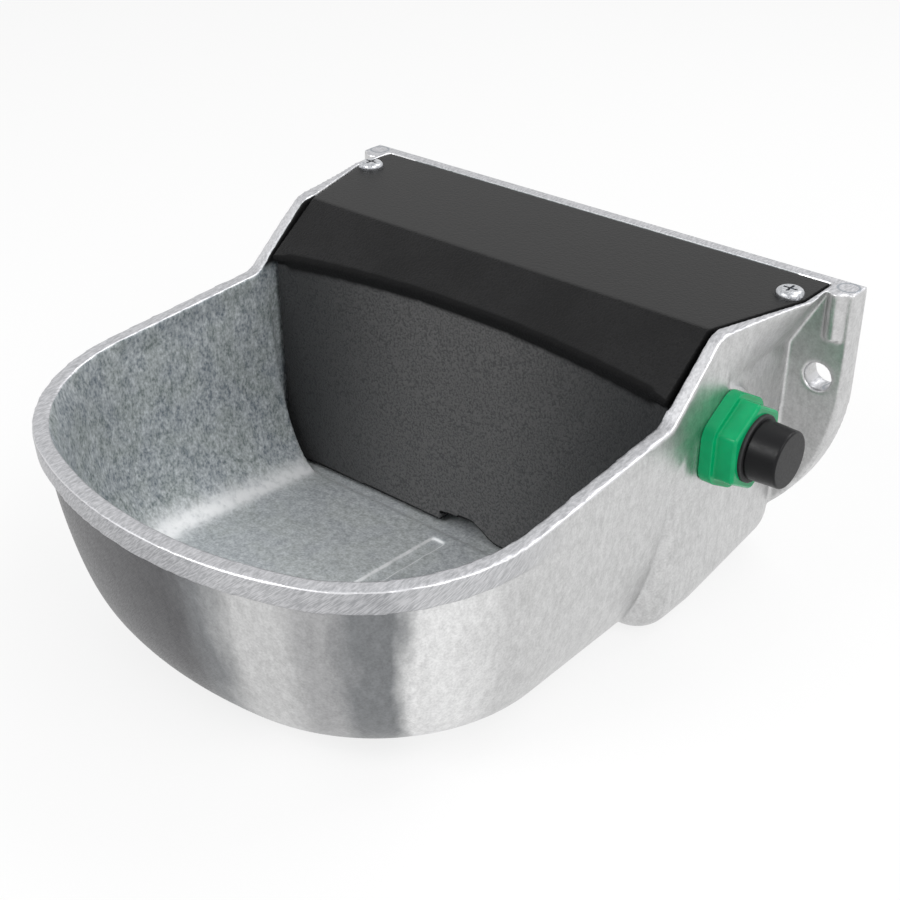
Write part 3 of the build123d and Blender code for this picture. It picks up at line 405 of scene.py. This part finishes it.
class StudioLook(bpy.types.PropertyGroup):
    floor_colour: colour_setting("Floor", "Colour of the floor", "F6F6F6")
    azimuth: FloatProperty(name="Azimuth", description="Camera angle round the bowl", default=math.radians(40.59), unit="ROTATION")
    elevation: FloatProperty(name="Elevation", description="Camera angle above level", default=math.radians(30.41), unit="ROTATION")
    distance: size_setting("Distance", "Camera to the point it looks at", 631.7)
    lens: FloatProperty(name="Lens", description="Focal length in millimetres", default=59.74)


# ---------------------------------------------------------------- operators
class BOWL_OT_casting(bpy.types.Operator):
    """Rounds the casting's edges and gives it its blasted, tumbled and milled skin"""
    bl_idname = "bowl.casting"
    bl_label = "Casting"

    def execute(self, context):
        look = context.scene.casting_look
        soften("bowl_casting", look.voxel, 9)
        wear("bowl_casting", cast_aluminium(look))
        return {"FINISHED"}


class BOWL_OT_cover(bpy.types.Operator):
    """Rounds the cover's edges and gives it its moulded grain"""
    bl_idname = "bowl.cover"
    bl_label = "Cover"

    def execute(self, context):
        look = context.scene.moulding_look
        soften("cover", look.cover_voxel, 5)
        melt_lip("cover", look.hood_front, look.hood_foot, look.hood_side, 30)
        wear("cover", black_abs(look))
        return {"FINISHED"}


class BOWL_OT_screws(bpy.types.Operator):
    """Plates the two cover screws"""
    bl_idname = "bowl.screws"
    bl_label = "Cover screws"

    def execute(self, context):
        zinc = worked_metal("zinc_plated_steel", linear("9C9EA2"), linear("D5D7DA"), 0.26, 1.0 * MM)
        wear("cover_screws", zinc)
        return {"FINISHED"}


class BOWL_OT_inlet(bpy.types.Operator):
    """Finishes the valve body, its nut, washers, strainer and cap"""
    bl_idname = "bowl.inlet"
    bl_label = "Inlet and valve"

    def execute(self, context):
        look = context.scene.moulding_look
        green = moulded_plastic("green_polypropylene", look.green, 0.17, 1.49)
        rubber = moulded_rubber("epdm_rubber", linear("151517"))
        acetal = moulded_plastic("white_acetal", linear("D9D8D2"), 0.35, 1.48)
        soften("lock_nut", look.nut_voxel, 5)
        soften("inlet_cap", look.nut_voxel, 4)
        wear("lock_nut", green)
        wear("valve_body", green)
        wear("inlet_cap", moulded_plastic("black_polyethylene", look.cap, 0.36, 1.51, 0.2, 1.0 * MM, 0.05 * MM))
        for node in ("inlet_washer", "valve_gasket", "plunger_seal"):
            wear(node, rubber)
        for node in ("inlet_strainer", "plunger"):
            wear(node, acetal)
        return {"FINISHED"}


class BOWL_OT_mechanism(bpy.types.Operator):
    """Finishes the nozzle, the float arm, its pin and fasteners, and the float"""
    bl_idname = "bowl.mechanism"
    bl_label = "Float mechanism"

    def execute(self, context):
        look = context.scene.moulding_look
        brass = worked_metal("pressed_brass", linear("A98C4E"), linear("D8BE7C"), 0.28, 2.0 * MM)
        stainless = worked_metal("stainless_steel", linear("94969A"), linear("C4C6CA"), 0.25, 0.8 * MM)
        for node in ("nozzle", "float_arm"):
            wear(node, brass)
        for node in ("pivot_pin", "pin_clip", "float_screw", "float_nut"):
            wear(node, stainless)
        wear("float", moulded_plastic("blow_moulded_polyethylene", look.float_colour, 0.42, 1.51, 0.2, 1.6 * MM, 0.08 * MM))
        return {"FINISHED"}


class BOWL_OT_plug(bpy.types.Operator):
    """Finishes the drain plug and its pull ring"""
    bl_idname = "bowl.plug"
    bl_label = "Drain plug"

    def execute(self, context):
        rubber = moulded_rubber("natural_rubber", linear("1D1B1A"))
        wear("drain_plug", rubber)
        wear("plug_ring", rubber)
        return {"FINISHED"}


def area_light(name, place, aim, width, height, watts):
    """A soft rectangular light."""
    lamp = bpy.data.lights.new(name, "AREA")
    lamp.shape, lamp.size, lamp.size_y, lamp.energy = "RECTANGLE", width, height, watts
    holder = bpy.data.objects.new(name, lamp)
    holder.location = place
    holder.rotation_euler = (Vector(aim) - Vector(place)).to_track_quat("-Z", "Y").to_euler()
    bpy.context.scene.collection.objects.link(holder)
    return holder


class BOWL_OT_studio(bpy.types.Operator):
    """Sets the floor, the soft lights, the plain background and the camera"""
    bl_idname = "bowl.studio"
    bl_label = "Studio"

    def execute(self, context):
        scene = context.scene
        look = scene.studio_look
        scene.view_settings.view_transform = "Standard"
        low, high = CAD_BOX
        # floor under the casting
        half = 4.0
        mesh = bpy.data.meshes.new("studio_floor")
        level = low.z
        corners = [(-half, -half, level), (half, -half, level), (half, half, level), (-half, half, level)]
        mesh.from_pydata(corners, [], [(0, 1, 2, 3)])
        floor = bpy.data.objects.new("studio_floor", mesh)
        scene.collection.objects.link(floor)
        material, tree, _ = new_material("painted_studio_floor")
        path = add_node(tree, "ShaderNodeLightPath").outputs
        seen = arithmetic(tree, "MAXIMUM", path["Is Camera Ray"], path["Is Glossy Ray"])
        seen = arithmetic(tree, "MAXIMUM", seen, path["Is Transmission Ray"])
        paint = add_node(tree, "ShaderNodeBsdfDiffuse", {"Color": look.floor_colour}).outputs[0]
        glow = add_node(tree, "ShaderNodeEmission", {"Color": (1, 1, 1, 1), "Strength": 1.0}).outputs[0]
        share = arithmetic(tree, "MULTIPLY", seen, 0.8)
        mixed = add_node(tree, "ShaderNodeMixShader", {0: share, 1: paint, 2: glow}).outputs[0]
        add_node(tree, "ShaderNodeOutputMaterial", {"Surface": mixed})
        mesh.materials.append(material)
        # plain white surroundings
        world = bpy.data.worlds.new("plain_surroundings")
        world.use_nodes = True
        world.node_tree.nodes.clear()
        path = add_node(world.node_tree, "ShaderNodeLightPath").outputs
        seen = arithmetic(world.node_tree, "MAXIMUM", path["Is Camera Ray"], path["Is Glossy Ray"])
        seen = arithmetic(world.node_tree, "MAXIMUM", seen, path["Is Transmission Ray"])
        strength = ramp(world.node_tree, seen, 0.0, 1.0, 0.55, 1.0)
        back = add_node(world.node_tree, "ShaderNodeBackground", {"Color": (1, 1, 1, 1), "Strength": strength})
        add_node(world.node_tree, "ShaderNodeOutputWorld", {"Surface": back.outputs[0]})
        scene.world = world
        # soft lights: one high on the right, one over the back, one low in front
        aim = (0.0, -0.14, 0.0)
        area_light("key_light", (1.1, -0.3, 1.0), aim, 0.9, 0.9, 7.0)
        area_light("back_light", (0.34, 0.71, 1.06), aim, 0.8, 0.6, 6.0)
        area_light("front_light", (-0.4, -1.2, 0.9), aim, 0.6, 0.6, 7.0)
        # camera
        back_x = math.sin(look.azimuth) * math.cos(look.elevation)
        back_y = -math.cos(look.azimuth) * math.cos(look.elevation)
        towards = Vector((back_x, back_y, math.sin(look.elevation)))
        lens = bpy.data.cameras.new("camera")
        lens.lens, lens.sensor_width = look.lens, 36.0
        camera = bpy.data.objects.new("camera", lens)
        camera.matrix_world = towards.to_track_quat("Z", "Y").to_matrix().to_4x4()
        camera.location = Vector((0.03295, -0.1469, -0.0145)) + towards * look.distance
        lens.clip_start, lens.clip_end = 0.01, 20.0
        scene.collection.objects.link(camera)
        scene.camera = camera
        return {"FINISHED"}


OPERATORS = (
    BOWL_OT_casting, BOWL_OT_cover, BOWL_OT_screws, BOWL_OT_inlet, BOWL_OT_mechanism, BOWL_OT_plug, BOWL_OT_studio,
)


class BOWL_PT_sidebar(bpy.types.Panel):
    """Lists the steps that dress the drinking bowl"""
    bl_idname = "BOWL_PT_sidebar"
    bl_label = "Drinking Bowl"
    bl_space_type = "VIEW_3D"
    bl_region_type = "UI"
    bl_category = "Drinking Bowl"

    def draw(self, context):
        for operator in OPERATORS:
            self.layout.operator(operator.bl_idname)


LOOKS = {"casting_look": CastingLook, "moulding_look": MouldingLook, "studio_look": StudioLook}
CLASSES = (*LOOKS.values(), *OPERATORS, BOWL_PT_sidebar)


def register():
    for item in CLASSES:
        bpy.utils.register_class(item)
    for name, group in LOOKS.items():
        setattr(bpy.types.Scene, name, PointerProperty(type=group))


def unregister():
    for name in LOOKS:
        delattr(bpy.types.Scene, name)
    for item in reversed(CLASSES):
        bpy.utils.unregister_class(item)


def main():
    register()
    for operator in OPERATORS:
        group, name = operator.bl_idname.split(".")
        getattr(getattr(bpy.ops, group), name)()


if __name__ == "__main__":
    main()
